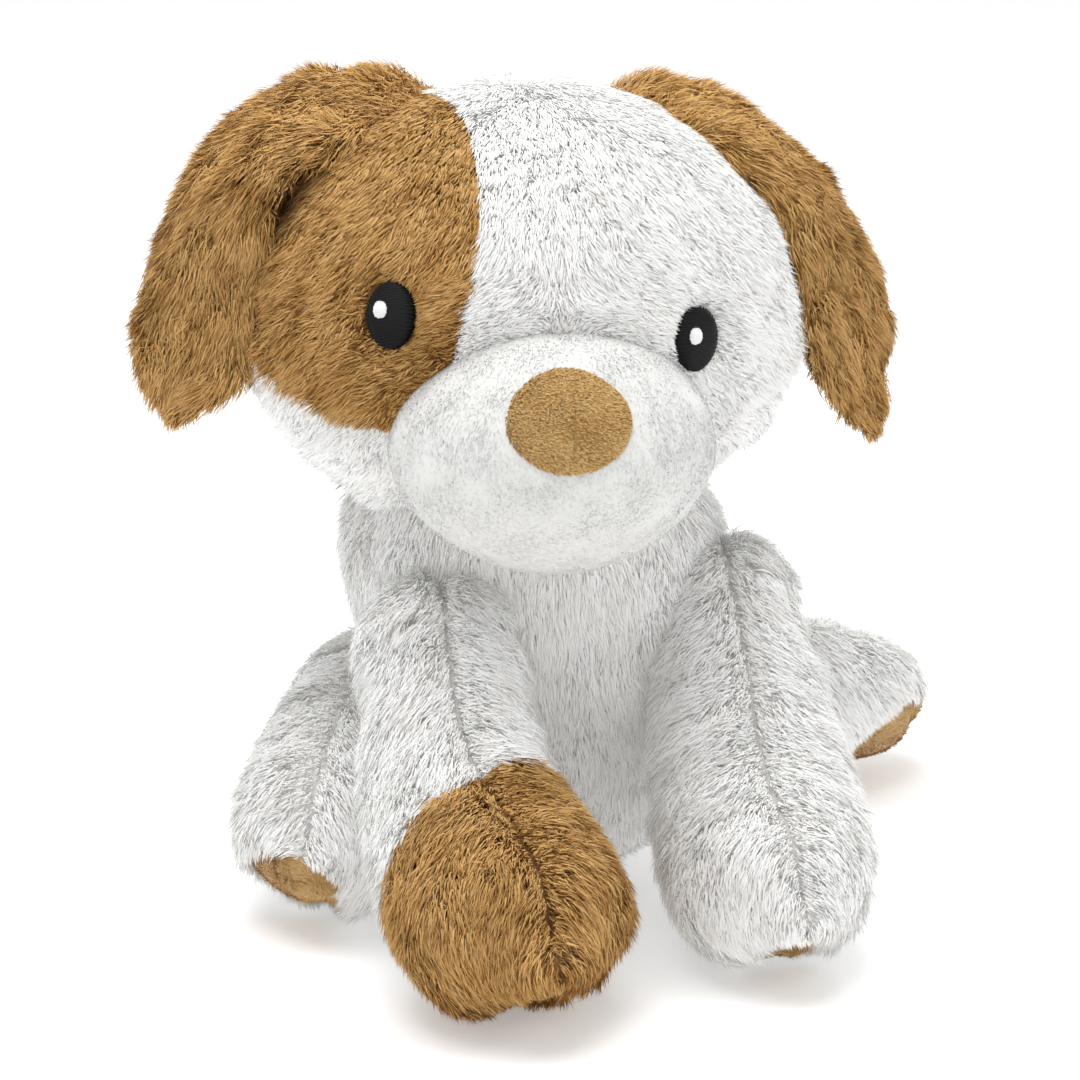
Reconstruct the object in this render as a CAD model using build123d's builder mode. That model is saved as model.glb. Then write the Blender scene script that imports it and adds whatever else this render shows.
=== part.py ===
"""A seated plush dog, sewn from long-pile cloth panels over separate stuffings.

Millimetres. Z is up and z = 0 is the surface that the dog sits on. The dog faces -Y,
its right side is at -X, and the origin lies on the flat seat under its torso.
"""
from build123d import *
from math import cos, radians, sin
import os

# ---- driving dimensions -------------------------------------------------------------
CLOTH = 4.0            # plush cloth with its pile pressed flat
STUFFING_GAP = 0.3     # between a cover and the stuffing in it
JOINT_GAP = 0.6        # between the head and the neck that it turns on
POCKET_GAP = 1.6       # between the torso and a limb that swings in its pocket
EAR_GAP = 2.4          # between the head and an ear that lifts from it
EMBROIDERY = 1.0       # thickness of the stitched eyes and nose

TORSO_MIDDLE = (0, 5, 70)
TORSO_RADIUS = 53
TORSO_HALF_HEIGHT = 76
SEAT_SEAM = 14         # height of the seam round the seat panel

HEAD_MIDDLE = (-12, -8, 177)
HEAD_YAW = -14         # the head is turned to the dog's right
HEAD_HALF_WIDTH = 79
HEAD_RADIUS = 65
MUZZLE_FORWARD = 50
MUZZLE_DROP = 30
MUZZLE_RADIUS = 45.5
MUZZLE_HALF_HEIGHT = 33
NECK_RADIUS = 20
NECK_BOTTOM = 92

EYE_SIZE = (7.6, 9.6)          # half width, half height
EYE_SPREAD = ((-44, 9), (39, 0))   # sideways and up from the head's middle
GLINT_SIZE = (2.2, 2.7)
GLINT_ASIDE = 2.4              # the glint lies towards the dog's right of each eye
GLINT_UP = 1.5
NOSE_SIZE = (16.5, 14.0)
NOSE_LIFT = 28                 # degrees above the muzzle's middle

# A limb is a ball at its seam and a row of oval sections: x, y, z, half width, half depth.
FRONT_LEG_RIGHT = ((-50, -35, 83, 26, 26), (-57, -68, 51, 30, 25), (-57, -98, 32, 33, 29),
                   (-57, -115, 29, 29, 26), (-57, -127, 25, 13, 12))
FRONT_LEG_LEFT = ((41, -35, 83, 26, 26), (31, -72, 51, 30, 25), (23, -100, 31, 31, 28),
                  (20, -115, 28, 26, 25), (19, -126, 24, 13, 12))
HIND_LEG_RIGHT = ((-46, 16, 40, 31, 31), (-67, -6, 34, 30, 31), (-84, -28, 27, 27, 25),
                  (-91, -37, 24, 14, 13))
HIND_LEG_LEFT = ((58, 18, 37, 27, 27), (95, 19, 31, 27, 26), (127, 21, 25, 22, 21),
                 (137, 21, 23, 11, 11))
TAIL = ((0, 50, 34, 10.5, 10.5), (0, 66, 36, 10.5, 10), (0, 82, 42, 9.5, 9),
        (0, 95, 51, 6, 6))
FRONT_BALL = 28
HIND_BALL_RIGHT = 33.5
HIND_BALL_LEFT = 29
TAIL_BALL = 12

# An ear is a row of flat oval sections in the head's own directions, measured from its
# middle: outward, back, up, width direction, half width, half thickness.
EAR_RIGHT = ((44, 6, 58, .45, -.75, -.45, 17, 3.5), (68, 6, 55, .2, -.85, -.4, 21, 5),
             (88, 6, 38, -.25, -.9, -.2, 22, 6), (96, 3, 12, -.6, -.75, 0, 22, 6),
             (100, 1, -8, -.7, -.7, 0, 20, 5), (105, 0, -25, -.7, -.7, 0, 8, 3))
EAR_LEFT = ((49, 6, 54, .45, -.75, -.45, 17, 3.5), (70, 6, 48, .2, -.85, -.4, 21, 5),
            (89, 6, 31, -.25, -.9, -.2, 22, 6), (98, 3, 7, -.6, -.75, 0, 22, 6),
            (103, 1, -13, -.7, -.7, 0, 20, 5), (110, 0, -38, -.7, -.7, 0, 8, 3))
EAR_LAYER_GAP = 0.3

os.makedirs("parts", exist_ok=True)


def save(piece, name):
    """Label a finished piece and write it as its own file."""
    piece.part.label = name
    export_step(piece.part, f"parts/{name}.step")


def spheroid(plane, along, across):
    """An egg turned about the plane's X axis: half length `along`, radius `across`."""
    with BuildPart() as egg:
        with BuildSketch(plane):
            with BuildLine():
                EllipticalCenterArc((0, 0), along, across, 0, arc_size=90)
                EllipticalCenterArc((0, 0), along, across, 90, arc_size=90)
                Line((-along, 0), (along, 0))
            make_face()
        revolve(axis=Axis(plane.origin, plane.x_dir))
    return egg.part


def ball(middle, radius, away):
    """The ball that a limb's seam turns in, its own closing line on the side `away`."""
    with BuildPart(Plane(origin=middle, x_dir=away, z_dir=away.cross(Vector(0, 0, 1)))) as sphere:
        Sphere(radius)
    return sphere.part


def limb(stations, radius, inset=0.0):
    """A ball at the seam joined to ovals lofted down the limb, all `inset` inside the cloth."""
    with BuildPart() as tube:
        for number, (x, y, z, width, depth) in enumerate(stations):
            before = Vector(*stations[max(number - 1, 0)][:3])
            after = Vector(*stations[min(number + 1, len(stations) - 1)][:3])
            along = (after - before).normalized()
            sideways = along.cross(Vector(0, 0, 1)).normalized()
            end_inset = along * inset if number == len(stations) - 1 else Vector(0, 0, 0)
            section = Plane(origin=Vector(x, y, z) - end_inset, x_dir=sideways, z_dir=along)
            with BuildSketch(section):
                Ellipse(width - inset, depth - inset)
        loft()
        root = Vector(*stations[0][:3])
        add(ball(root, radius - inset, (root - Vector(*stations[1][:3])).normalized()))
    return tube.part


def above_floor(solid, height):
    """The part of a solid that is higher than a level plane."""
    with BuildPart() as kept:
        add(solid)
        split(bisect_by=Plane.XY.offset(height), keep=Keep.TOP)
    return kept.part


def minus(solid, *tools):
    """A solid with other solids cut out of it."""
    with BuildPart() as left:
        add(solid)
        for tool in tools:
            add(tool, mode=Mode.SUBTRACT)
    return left.part


# ---- head directions ----------------------------------------------------------------
yaw = radians(HEAD_YAW)
HEAD_RIGHTWARD = Vector(cos(yaw), sin(yaw), 0)       # towards the dog's left ear
HEAD_BACKWARD = Vector(-sin(yaw), cos(yaw), 0)
head_middle = Vector(*HEAD_MIDDLE)


def on_head(across, back, up):
    """A point given in the head's own directions, measured from its middle."""
    return head_middle + HEAD_RIGHTWARD * across + HEAD_BACKWARD * back + Vector(0, 0, up)


head_plane = Plane(origin=head_middle, x_dir=HEAD_RIGHTWARD, z_dir=(0, 0, 1))
muzzle_middle = on_head(0, -MUZZLE_FORWARD, -MUZZLE_DROP)
muzzle_plane = Plane(origin=muzzle_middle, x_dir=(0, 0, 1), z_dir=HEAD_RIGHTWARD)


def head_form(inset=0.0):
    """The skull egg, wider than it is high."""
    return spheroid(head_plane, HEAD_HALF_WIDTH - inset, HEAD_RADIUS - inset)


def muzzle_form(inset=0.0):
    """The muzzle egg, flatter than it is wide."""
    return spheroid(muzzle_plane, MUZZLE_HALF_HEIGHT - inset, MUZZLE_RADIUS - inset)


# The room that the head sweeps as it turns: its widest outline, turned about the neck.
upright = Plane(origin=head_middle, x_dir=(0, 0, 1), z_dir=(0, 1, 0))
head_sweep = spheroid(upright, HEAD_RADIUS + JOINT_GAP, HEAD_HALF_WIDTH + JOINT_GAP)

# ---- limbs: outer forms first, because they make the pockets in the torso ------------
limb_tables = {
    "front_leg_right": (FRONT_LEG_RIGHT, FRONT_BALL),
    "front_leg_left": (FRONT_LEG_LEFT, FRONT_BALL),
    "hind_leg_right": (HIND_LEG_RIGHT, HIND_BALL_RIGHT),
    "hind_leg_left": (HIND_LEG_LEFT, HIND_BALL_LEFT),
    "tail": (TAIL, TAIL_BALL),
}
limb_skins = {}
limb_cores = {}
pockets = []
for name, (stations, radius) in limb_tables.items():
    limb_skins[name] = above_floor(limb(stations, radius), 0)
    limb_cores[name] = above_floor(limb(stations, radius, CLOTH), CLOTH)
    pockets.append(limb(stations, radius, -POCKET_GAP))

# ---- torso: a pear of cloth in three panels -----------------------------------------
torso_plane = Plane(origin=TORSO_MIDDLE, x_dir=(0, 0, 1), z_dir=(0, 1, 0))
neck_top = HEAD_MIDDLE[2]
neck_height = neck_top - NECK_BOTTOM
neck_place = Plane(origin=(HEAD_MIDDLE[0], HEAD_MIDDLE[1], NECK_BOTTOM))

with BuildPart() as neck_socket:
    with BuildSketch(neck_place.offset(-JOINT_GAP)):
        Circle(NECK_RADIUS + JOINT_GAP)
    extrude(amount=neck_height)

torso_cuts = pockets + [head_sweep, neck_socket.part]
torso_egg = spheroid(torso_plane, TORSO_HALF_HEIGHT, TORSO_RADIUS)
torso_hollow = spheroid(torso_plane, TORSO_HALF_HEIGHT - CLOTH, TORSO_RADIUS - CLOTH)
torso_skin = minus(above_floor(torso_egg, 0), above_floor(torso_hollow, CLOTH), *torso_cuts)
side_seam = Plane(origin=TORSO_MIDDLE, x_dir=(1, 0, 0), z_dir=(0, -1, 0))
seat_seam = Plane.XY.offset(SEAT_SEAM)

with BuildPart() as belly_cover:
    add(torso_skin)
    split(bisect_by=side_seam, keep=Keep.TOP)
    split(bisect_by=seat_seam, keep=Keep.TOP)
save(belly_cover, "belly_cover")

with BuildPart() as back_cover:
    add(torso_skin)
    split(bisect_by=side_seam, keep=Keep.BOTTOM)
    split(bisect_by=seat_seam, keep=Keep.TOP)
save(back_cover, "back_cover")

with BuildPart() as seat_cover:
    add(torso_skin)
    split(bisect_by=seat_seam, keep=Keep.BOTTOM)
save(seat_cover, "seat_cover")

# A small bag of plastic pellets low in the torso keeps the dog sitting.
POUCH_HEIGHT = 24
pouch_inset = CLOTH + STUFFING_GAP
pouch_egg = spheroid(torso_plane, TORSO_HALF_HEIGHT - pouch_inset, TORSO_RADIUS - pouch_inset)

with BuildPart() as seat_pellet_pouch:
    add(above_floor(pouch_egg, pouch_inset))
    split(bisect_by=Plane.XY.offset(POUCH_HEIGHT), keep=Keep.BOTTOM)
    for pocket in pockets:
        add(pocket, mode=Mode.SUBTRACT)
save(seat_pellet_pouch, "seat_pellet_pouch")

with BuildPart() as torso_stuffing:
    add(above_floor(pouch_egg, POUCH_HEIGHT + STUFFING_GAP))
    for cut in torso_cuts:
        add(cut, mode=Mode.SUBTRACT)
save(torso_stuffing, "torso_stuffing")

# A blank care label is caught in the seat seam at the back.
LABEL_SIZE = (14, 20, 0.8)
label_turn = radians(50)
label_out = Vector(cos(label_turn), sin(label_turn), -0.35)
label_across = Vector(-sin(label_turn), cos(label_turn), 0)
label_place = Plane(origin=(17, 26, SEAT_SEAM), x_dir=label_across, z_dir=label_across.cross(label_out))

with BuildPart() as care_label:
    with BuildSketch(label_place):
        with Locations((0, LABEL_SIZE[1] / 2)):
            Rectangle(LABEL_SIZE[0], LABEL_SIZE[1])
    extrude(amount=LABEL_SIZE[2] / 2, both=True)
    add(torso_egg, mode=Mode.SUBTRACT)
save(care_label, "care_label")

# ---- neck: a plug of stuffing that the head turns with -------------------------------
with BuildPart() as neck_stuffing:
    with BuildSketch(neck_place):
        Circle(NECK_RADIUS)
    extrude(amount=neck_height)
    add(head_form(-JOINT_GAP), mode=Mode.SUBTRACT)
save(neck_stuffing, "neck_stuffing")

# ---- head: skull panels, brown patch, muzzle, nose and eyes ---------------------------
PATCH_SEAM_SIDE = -19      # sideways from the middle of the face
PATCH_SEAM_LEAN = 2        # degrees that the seam leans outward at the top
PATCH_LOWER_EDGE = -30     # below the middle of the head
EAR_SEAM_BACK = 12         # the seam over the head, just behind the ears
head_skin = minus(head_form(), head_form(CLOTH), muzzle_form())
ear_seam = Plane(origin=on_head(0, EAR_SEAM_BACK, 0), x_dir=HEAD_RIGHTWARD, z_dir=HEAD_BACKWARD * -1)
lean = radians(PATCH_SEAM_LEAN)
patch_seam = Plane(
    origin=on_head(PATCH_SEAM_SIDE, 0, 0),
    x_dir=HEAD_BACKWARD,
    z_dir=HEAD_RIGHTWARD * -cos(lean) + Vector(0, 0, -sin(lean)),
)
patch_edge = Plane.XY.offset(HEAD_MIDDLE[2] + PATCH_LOWER_EDGE)

with BuildPart() as head_back_cover:
    add(head_skin)
    split(bisect_by=ear_seam, keep=Keep.BOTTOM)
save(head_back_cover, "head_back_cover")

with BuildPart() as eye_patch_cover:
    add(head_skin)
    split(bisect_by=ear_seam, keep=Keep.TOP)
    split(bisect_by=patch_seam, keep=Keep.TOP)
    split(bisect_by=patch_edge, keep=Keep.TOP)
save(eye_patch_cover, "eye_patch_cover")

with BuildPart() as face_cover:
    add(head_skin)
    split(bisect_by=ear_seam, keep=Keep.TOP)
    add(eye_patch_cover.part, mode=Mode.SUBTRACT)
save(face_cover, "face_cover")

with BuildPart() as muzzle_cover:
    add(muzzle_form())
    add(muzzle_form(CLOTH), mode=Mode.SUBTRACT)
    add(head_form(CLOTH), mode=Mode.SUBTRACT)
save(muzzle_cover, "muzzle_cover")

with BuildPart() as head_stuffing:
    add(head_form(CLOTH + STUFFING_GAP))
    add(muzzle_form(CLOTH + STUFFING_GAP))
save(head_stuffing, "head_stuffing")


def badge(form, thickness, start, place, size):
    """An oval patch that lies on a curved form: an oval prism between two offsets of it."""
    with BuildPart() as patch:
        with BuildSketch(place):
            Ellipse(*size)
        extrude(amount=HEAD_RADIUS)
        add(form(-start - thickness), mode=Mode.INTERSECT)
        add(form(-start), mode=Mode.SUBTRACT)
        if form is head_form:
            add(muzzle_form(), mode=Mode.SUBTRACT)
    return patch


for side, (across, up) in zip(("right", "left"), EYE_SPREAD):
    eye_place = Plane(origin=on_head(across, 0, up), x_dir=HEAD_RIGHTWARD, z_dir=HEAD_BACKWARD * -1)
    save(badge(head_form, EMBROIDERY, 0, eye_place, EYE_SIZE), f"eye_{side}")
    glint_place = Plane(
        origin=on_head(across - GLINT_ASIDE, 0, up + GLINT_UP),
        x_dir=HEAD_RIGHTWARD,
        z_dir=HEAD_BACKWARD * -1,
    )
    save(badge(head_form, EMBROIDERY / 2, EMBROIDERY, glint_place, GLINT_SIZE), f"eye_glint_{side}")

nose_lift = radians(NOSE_LIFT)
nose_place = Plane(
    origin=muzzle_middle,
    x_dir=HEAD_RIGHTWARD,
    z_dir=HEAD_BACKWARD * -cos(nose_lift) + Vector(0, 0, sin(nose_lift)),
)
save(badge(muzzle_form, EMBROIDERY, 0, nose_place, NOSE_SIZE), "nose_patch")

# ---- ears: a front and a back layer each, hinged at a rolled seam --------------------
head_clear = head_form(-EAR_GAP)
for side, sign, table in (("right", -1, EAR_RIGHT), ("left", 1, EAR_LEFT)):
    middles = [on_head(sign * row[0], row[1], row[2]) for row in table]
    for layer, face in (("front", -1), ("back", 1)):
        with BuildPart() as ear:
            for number, row in enumerate(table):
                before = middles[max(number - 1, 0)]
                after = middles[min(number + 1, len(table) - 1)]
                along = (after - before).normalized()
                wide = on_head(sign * row[3], row[4], row[5]) - head_middle
                wide = (wide - along * wide.dot(along)).normalized()
                section = Plane(origin=middles[number], x_dir=wide, z_dir=along)
                half_width, half_thickness = row[6:]
                flat = EAR_LAYER_GAP / 2 * face
                with BuildSketch(section):
                    with BuildLine():
                        start = 0 if face > 0 else 180
                        EllipticalCenterArc((0, flat), half_width, half_thickness, start, arc_size=180)
                        Line((-half_width, flat), (half_width, flat))
                    make_face()
            loft()
            add(head_clear, mode=Mode.SUBTRACT)
        save(ear, f"ear_{side}_{layer}")

# ---- limbs: outer and inner cloth, sole and stuffing ---------------------------------
SOLE_DEPTH = 8         # how far up from the tip a sole reaches
SOLE_TILT = 0.9        # a sole faces down nearly as much as it faces along the limb
PAW_START = 70         # the brown paw starts this far from the root of its leg
PAW_TILT = 0.45        # and its seam leans back at the top
for name, (stations, radius) in limb_tables.items():
    skin = minus(limb_skins[name], limb_cores[name])
    root = Vector(*stations[0][:3])
    tip = Vector(*stations[-1][:3])
    level = Vector(tip.X - root.X, tip.Y - root.Y, 0).normalized()
    across = level.cross(Vector(0, 0, 1))
    seam = Plane(origin=root, x_dir=level, z_dir=across)
    halves = (("outer", Keep.TOP), ("inner", Keep.BOTTOM))
    if name.endswith("left"):
        halves = (("outer", Keep.BOTTOM), ("inner", Keep.TOP))
    if name == "tail":
        halves = (("left", Keep.BOTTOM), ("right", Keep.TOP))

    with BuildPart() as stuffing:
        core_inset = CLOTH + STUFFING_GAP
        add(above_floor(limb(stations, radius, core_inset), core_inset))
    save(stuffing, f"{name}_stuffing")

    if name != "tail":
        facing = (level - Vector(0, 0, SOLE_TILT)).normalized()
        sole_plane = Plane(origin=tip - facing * SOLE_DEPTH, x_dir=across, z_dir=facing)
        with BuildPart() as sole:
            add(skin)
            split(bisect_by=sole_plane, keep=Keep.TOP)
        save(sole, f"{name}_sole")
        with BuildPart() as upper:
            add(skin)
            split(bisect_by=sole_plane, keep=Keep.BOTTOM)
        skin = upper.part

    if name == "front_leg_right":
        forward = (level + Vector(0, 0, PAW_TILT)).normalized()
        ankle = Plane(origin=root + level * PAW_START, x_dir=across, z_dir=forward)
        with BuildPart() as paw:
            add(skin)
            split(bisect_by=ankle, keep=Keep.TOP)
        with BuildPart() as shank:
            add(skin)
            split(bisect_by=ankle, keep=Keep.BOTTOM)
        skin = shank.part
        for half, keep in halves:
            with BuildPart() as paw_panel:
                add(paw.part)
                split(bisect_by=seam, keep=keep)
            save(paw_panel, f"{name}_paw_{half}")

    for half, keep in halves:
        with BuildPart() as panel:
            add(skin)
            split(bisect_by=seam, keep=keep)
        save(panel, f"{name}_{half}")
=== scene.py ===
import bpy
import numpy as np
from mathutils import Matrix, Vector


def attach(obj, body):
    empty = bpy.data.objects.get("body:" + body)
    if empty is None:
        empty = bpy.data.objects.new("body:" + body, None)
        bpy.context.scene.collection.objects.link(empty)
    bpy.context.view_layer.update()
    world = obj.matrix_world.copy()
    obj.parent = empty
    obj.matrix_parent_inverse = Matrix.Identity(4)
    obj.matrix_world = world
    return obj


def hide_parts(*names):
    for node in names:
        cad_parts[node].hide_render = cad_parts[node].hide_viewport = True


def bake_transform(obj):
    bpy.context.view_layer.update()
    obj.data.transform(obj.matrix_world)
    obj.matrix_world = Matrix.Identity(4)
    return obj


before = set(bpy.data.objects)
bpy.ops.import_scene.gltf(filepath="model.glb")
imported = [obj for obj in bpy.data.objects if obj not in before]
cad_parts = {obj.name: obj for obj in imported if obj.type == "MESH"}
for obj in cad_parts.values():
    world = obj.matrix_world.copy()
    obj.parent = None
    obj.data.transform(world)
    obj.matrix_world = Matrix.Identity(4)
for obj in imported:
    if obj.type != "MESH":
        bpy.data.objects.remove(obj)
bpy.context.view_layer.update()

# ---- the table it sits on, the lamps and the camera ---------------------------------
# A pale level table top runs on behind the dog. Two large soft lamps and an even white
# room light it, so that the pile shows its own soft shading and few hard shadows.
mm = 0.001
scene = bpy.context.scene
scene.view_settings.view_transform = "Standard"
scene.view_settings.exposure = 0.0


def plain_finish(name, colour, roughness):
    """One even finish with no pattern, set on the shader's own sockets."""
    finish = bpy.data.materials.new(name)
    finish.use_nodes = True
    shader = finish.node_tree.nodes["Principled BSDF"]
    shader.inputs["Base Color"].default_value = (*colour, 1)
    shader.inputs["Roughness"].default_value = roughness
    shader.inputs["Specular IOR Level"].default_value = 0.2
    return finish


table_white = plain_finish("table_white", (0.9, 0.9, 0.9), 0.7)
table_shader = table_white.node_tree.nodes["Principled BSDF"]
table_shader.inputs["Emission Color"].default_value = (1, 1, 1, 1)
table_shader.inputs["Emission Strength"].default_value = 0.3

far = 6.0
corners = [(-far, -far, 0), (far, -far, 0), (far, far, 0), (-far, far, 0)]
floor_mesh = bpy.data.meshes.new("table_top")
floor_mesh.from_pydata(corners, [], [(0, 1, 2, 3)])
floor_mesh.materials.append(table_white)
table_top = bpy.data.objects.new("table_top", floor_mesh)
scene.collection.objects.link(table_top)

room = bpy.data.worlds.new("white_room")
room.use_nodes = True
room_light = room.node_tree.nodes["Background"]
room_light.inputs["Color"].default_value = (1.0, 1.0, 1.0, 1)
room_light.inputs["Strength"].default_value = 0.62
scene.world = room


def soft_lamp(name, place, aim, size, watts):
    """A square lamp of a given size that faces a point."""
    data = bpy.data.lights.new(name, "AREA")
    data.size = size
    data.energy = watts
    lamp = bpy.data.objects.new(name, data)
    lamp.location = place
    lamp.rotation_euler = (Vector(aim) - Vector(place)).to_track_quat("-Z", "Y").to_euler()
    scene.collection.objects.link(lamp)


chest = (0, 0, 0.12)
soft_lamp("top_lamp", (-0.25, -0.05, 1.7), chest, 1.3, 23)
soft_lamp("side_lamp", (1.3, -1.0, 1.1), chest, 1.0, 4)

camera_data = bpy.data.cameras.new("camera")
camera_data.sensor_width = 36
camera_data.lens = 111.1
camera = bpy.data.objects.new("camera", camera_data)
azimuth, elevation, distance = np.radians(-24), np.radians(17), 1.0
looked_at = np.array([-0.0025, 0, 0.101])
to_camera = np.array([
    np.sin(azimuth) * np.cos(elevation),
    -np.cos(azimuth) * np.cos(elevation),
    np.sin(elevation),
])
camera.location = looked_at + to_camera * distance
camera.rotation_euler = Vector(-to_camera).to_track_quat("-Z", "Y").to_euler()
scene.collection.objects.link(camera)
scene.camera = camera

# ---- torso: three cloth panels round the body ---------------------------------------
# The body is a stuffed pear of white plush: a belly panel, a back panel and a seat panel,
# sewn at the sides and round the seat. The cloth is a knit backing with long soft pile.
same_place = 0.002 * mm      # points of one piece this close are joined
lowest_cloth = 0.6 * mm      # cloth that rests on the table keeps this much above it
lowest_fibre = 0.4 * mm


def unit(v):
    """Vectors scaled to length one."""
    return v / np.maximum(np.linalg.norm(v, axis=-1, keepdims=True), 1e-12)


def soft_floor(points, softness=1.5 * mm):
    """Bends whatever would sink through the table up to it, as weight flattens cloth: height z
    becomes the mean of z and the root of z squared plus softness squared."""
    points = points.copy()
    z = points[..., 2] - lowest_cloth
    points[..., 2] = lowest_cloth + 0.5 * (z + np.sqrt(z * z + softness * softness))
    return points


def ripple(points, size, seed):
    """Soft noise in space: the sum of twelve sine waves near `size` long, brought to about
    -1 to 1."""
    random = np.random.default_rng(seed)
    directions = unit(random.normal(size=(12, 3)))
    waves = directions * (2 * np.pi / size) * random.uniform(0.6, 1.5, (12, 1))
    phases = random.uniform(0, 2 * np.pi, 12)
    return np.sin(points @ waves.T + phases).sum(-1) / 3.5


def knit_backing(name, colour, wale=0.65 * mm, bump=0.25, shadow=0.86):
    """Knit cloth seen at the roots of its pile. Its colour is cloudy, down to `shadow` of full
    brightness, and it has a raised fuzz about as fine as the knit's ribs (`wale`)."""
    finish = bpy.data.materials.new(name)
    finish.use_nodes = True
    tree = finish.node_tree
    shader = tree.nodes["Principled BSDF"]
    shader.inputs["Roughness"].default_value = 0.95
    shader.inputs["Specular IOR Level"].default_value = 0.15
    shader.inputs["Sheen Weight"].default_value = 0.4
    shader.inputs["Sheen Roughness"].default_value = 0.5
    place = tree.nodes.new("ShaderNodeTexCoord")
    cloud = tree.nodes.new("ShaderNodeTexNoise")
    cloud.inputs["Scale"].default_value = 90
    cloud.inputs["Detail"].default_value = 6
    tint = tree.nodes.new("ShaderNodeValToRGB")
    tint.color_ramp.elements[0].position = 0.3
    tint.color_ramp.elements[1].position = 0.7
    tint.color_ramp.elements[0].color = (*(shadow * c for c in colour), 1)
    tint.color_ramp.elements[1].color = (*colour, 1)
    fuzz = tree.nodes.new("ShaderNodeTexNoise")
    fuzz.inputs["Scale"].default_value = 0.7 / wale
    fuzz.inputs["Detail"].default_value = 3
    relief = tree.nodes.new("ShaderNodeBump")
    relief.inputs["Strength"].default_value = bump
    relief.inputs["Distance"].default_value = 0.4 * mm
    tree.links.new(place.outputs["Object"], cloud.inputs["Vector"])
    tree.links.new(place.outputs["Object"], fuzz.inputs["Vector"])
    tree.links.new(cloud.outputs["Fac"], tint.inputs["Fac"])
    tree.links.new(tint.outputs["Color"], shader.inputs["Base Color"])
    tree.links.new(fuzz.outputs["Fac"], relief.inputs["Height"])
    tree.links.new(relief.outputs["Normal"], shader.inputs["Normal"])
    return finish


def pile_dye_and_shade(name, colours, glow=0.0):
    """The pile's fibres: one finish for each shade, the dye's own range of tone, whose darker end
    pile() gives to short locks as painted shade deep in the pile. The sheen has the dye's own
    hue, and a faint glow, painted light, stands for the light that passes through the fibres."""
    shades = []
    for number, colour in enumerate(colours):
        finish = plain_finish(f"{name}_{number}", colour, 0.85)
        shader = finish.node_tree.nodes["Principled BSDF"]
        shader.inputs["Sheen Weight"].default_value = 0.2
        shader.inputs["Sheen Roughness"].default_value = 0.4
        shader.inputs["Sheen Tint"].default_value = (*colour, 1)
        shader.inputs["Emission Color"].default_value = (*colour, 1)
        shader.inputs["Emission Strength"].default_value = glow
        shades.append(finish)
    return shades


white_backing = knit_backing("white_backing", (0.86, 0.85, 0.82))
white_shades = pile_dye_and_shade("white_pile", [
    (0.87, 0.865, 0.84), (0.91, 0.905, 0.885), (0.94, 0.935, 0.92), (0.96, 0.96, 0.95),
], glow=0.06)


def sew(name, grids, finish, body, nodes=(), turn=1, thickness=1.0 * mm):
    """One cloth piece from surface grids: joins their shared edges and gives the cloth a back.
    A grid is rows by columns of points; `turn` is 1 if rows crossed with columns point out."""
    points, faces, start = [], [], 0
    for grid in grids:
        rows, columns = grid.shape[:2]
        number = start + np.arange(rows * columns).reshape(rows, columns)
        around = (number[:-1, :-1], number[1:, :-1], number[1:, 1:], number[:-1, 1:])
        faces.append(np.stack(around[::turn], -1).reshape(-1, 4))
        points.append(grid.reshape(-1, 3))
        start += rows * columns
    points, faces = np.concatenate(points), np.concatenate(faces)
    cells = np.round(points / same_place).astype(np.int64)
    places, same = np.unique(cells, axis=0, return_inverse=True)
    same = same.ravel()
    joined = np.zeros((len(places), 3))
    joined[same] = points
    faces = same[faces]
    corners_kept = [tuple(dict.fromkeys(face)) for face in faces.tolist()]
    mesh = bpy.data.meshes.new(name)
    mesh.from_pydata(joined.tolist(), [], [face for face in corners_kept if len(face) > 2])
    mesh.update()
    mesh.polygons.foreach_set("use_smooth", np.ones(len(mesh.polygons), bool))
    mesh.materials.append(finish)
    piece = bpy.data.objects.new(name, mesh)
    scene.collection.objects.link(piece)
    if thickness:
        backing = piece.modifiers.new("cloth_back", "SOLIDIFY")
        backing.thickness = thickness
        backing.offset = -1
    belong(piece, body)
    if nodes:
        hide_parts(*nodes)


def belong(piece, body):
    """Rides on one body. A piece given as (body, other body, start, end) is left unparented, with its
    place applied to its points.
    """
    if isinstance(body, str):
        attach(piece, body)
    else:
        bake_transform(piece)


def spread_roots(grid, count, seed, turn=1, keep=None):
    """Roots spread evenly by area over a grid. Returns where they are, the directions outward,
    down the rows and along them, and each root's place as shares of the rows and columns.
    `keep` takes points and says which may carry pile."""
    random = np.random.default_rng(seed)
    down = grid[1:, :-1] - grid[:-1, :-1]
    across = grid[:-1, 1:] - grid[:-1, :-1]
    area = np.linalg.norm(np.cross(down, across), axis=-1)
    if keep is not None:
        centres = 0.25 * (grid[1:, 1:] + grid[:-1, 1:] + grid[1:, :-1] + grid[:-1, :-1])
        area = area * keep(centres)
    cell = random.choice(area.size, count, p=area.ravel() / area.sum())
    i, j = np.divmod(cell, area.shape[1])
    u, v = random.random((2, count, 1))
    a, b, c, d = grid[i, j], grid[i + 1, j], grid[i, j + 1], grid[i + 1, j + 1]
    where = (1 - u) * (1 - v) * a + u * (1 - v) * b + (1 - u) * v * c + u * v * d
    down = (1 - v) * (b - a) + v * (d - c)
    across = (1 - u) * (c - a) + u * (d - b)
    share = np.stack([(i + u[:, 0]) / area.shape[0], (j + v[:, 0]) / area.shape[1]], -1)
    return where, unit(np.cross(down, across)) * turn, unit(down), unit(across), share


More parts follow.
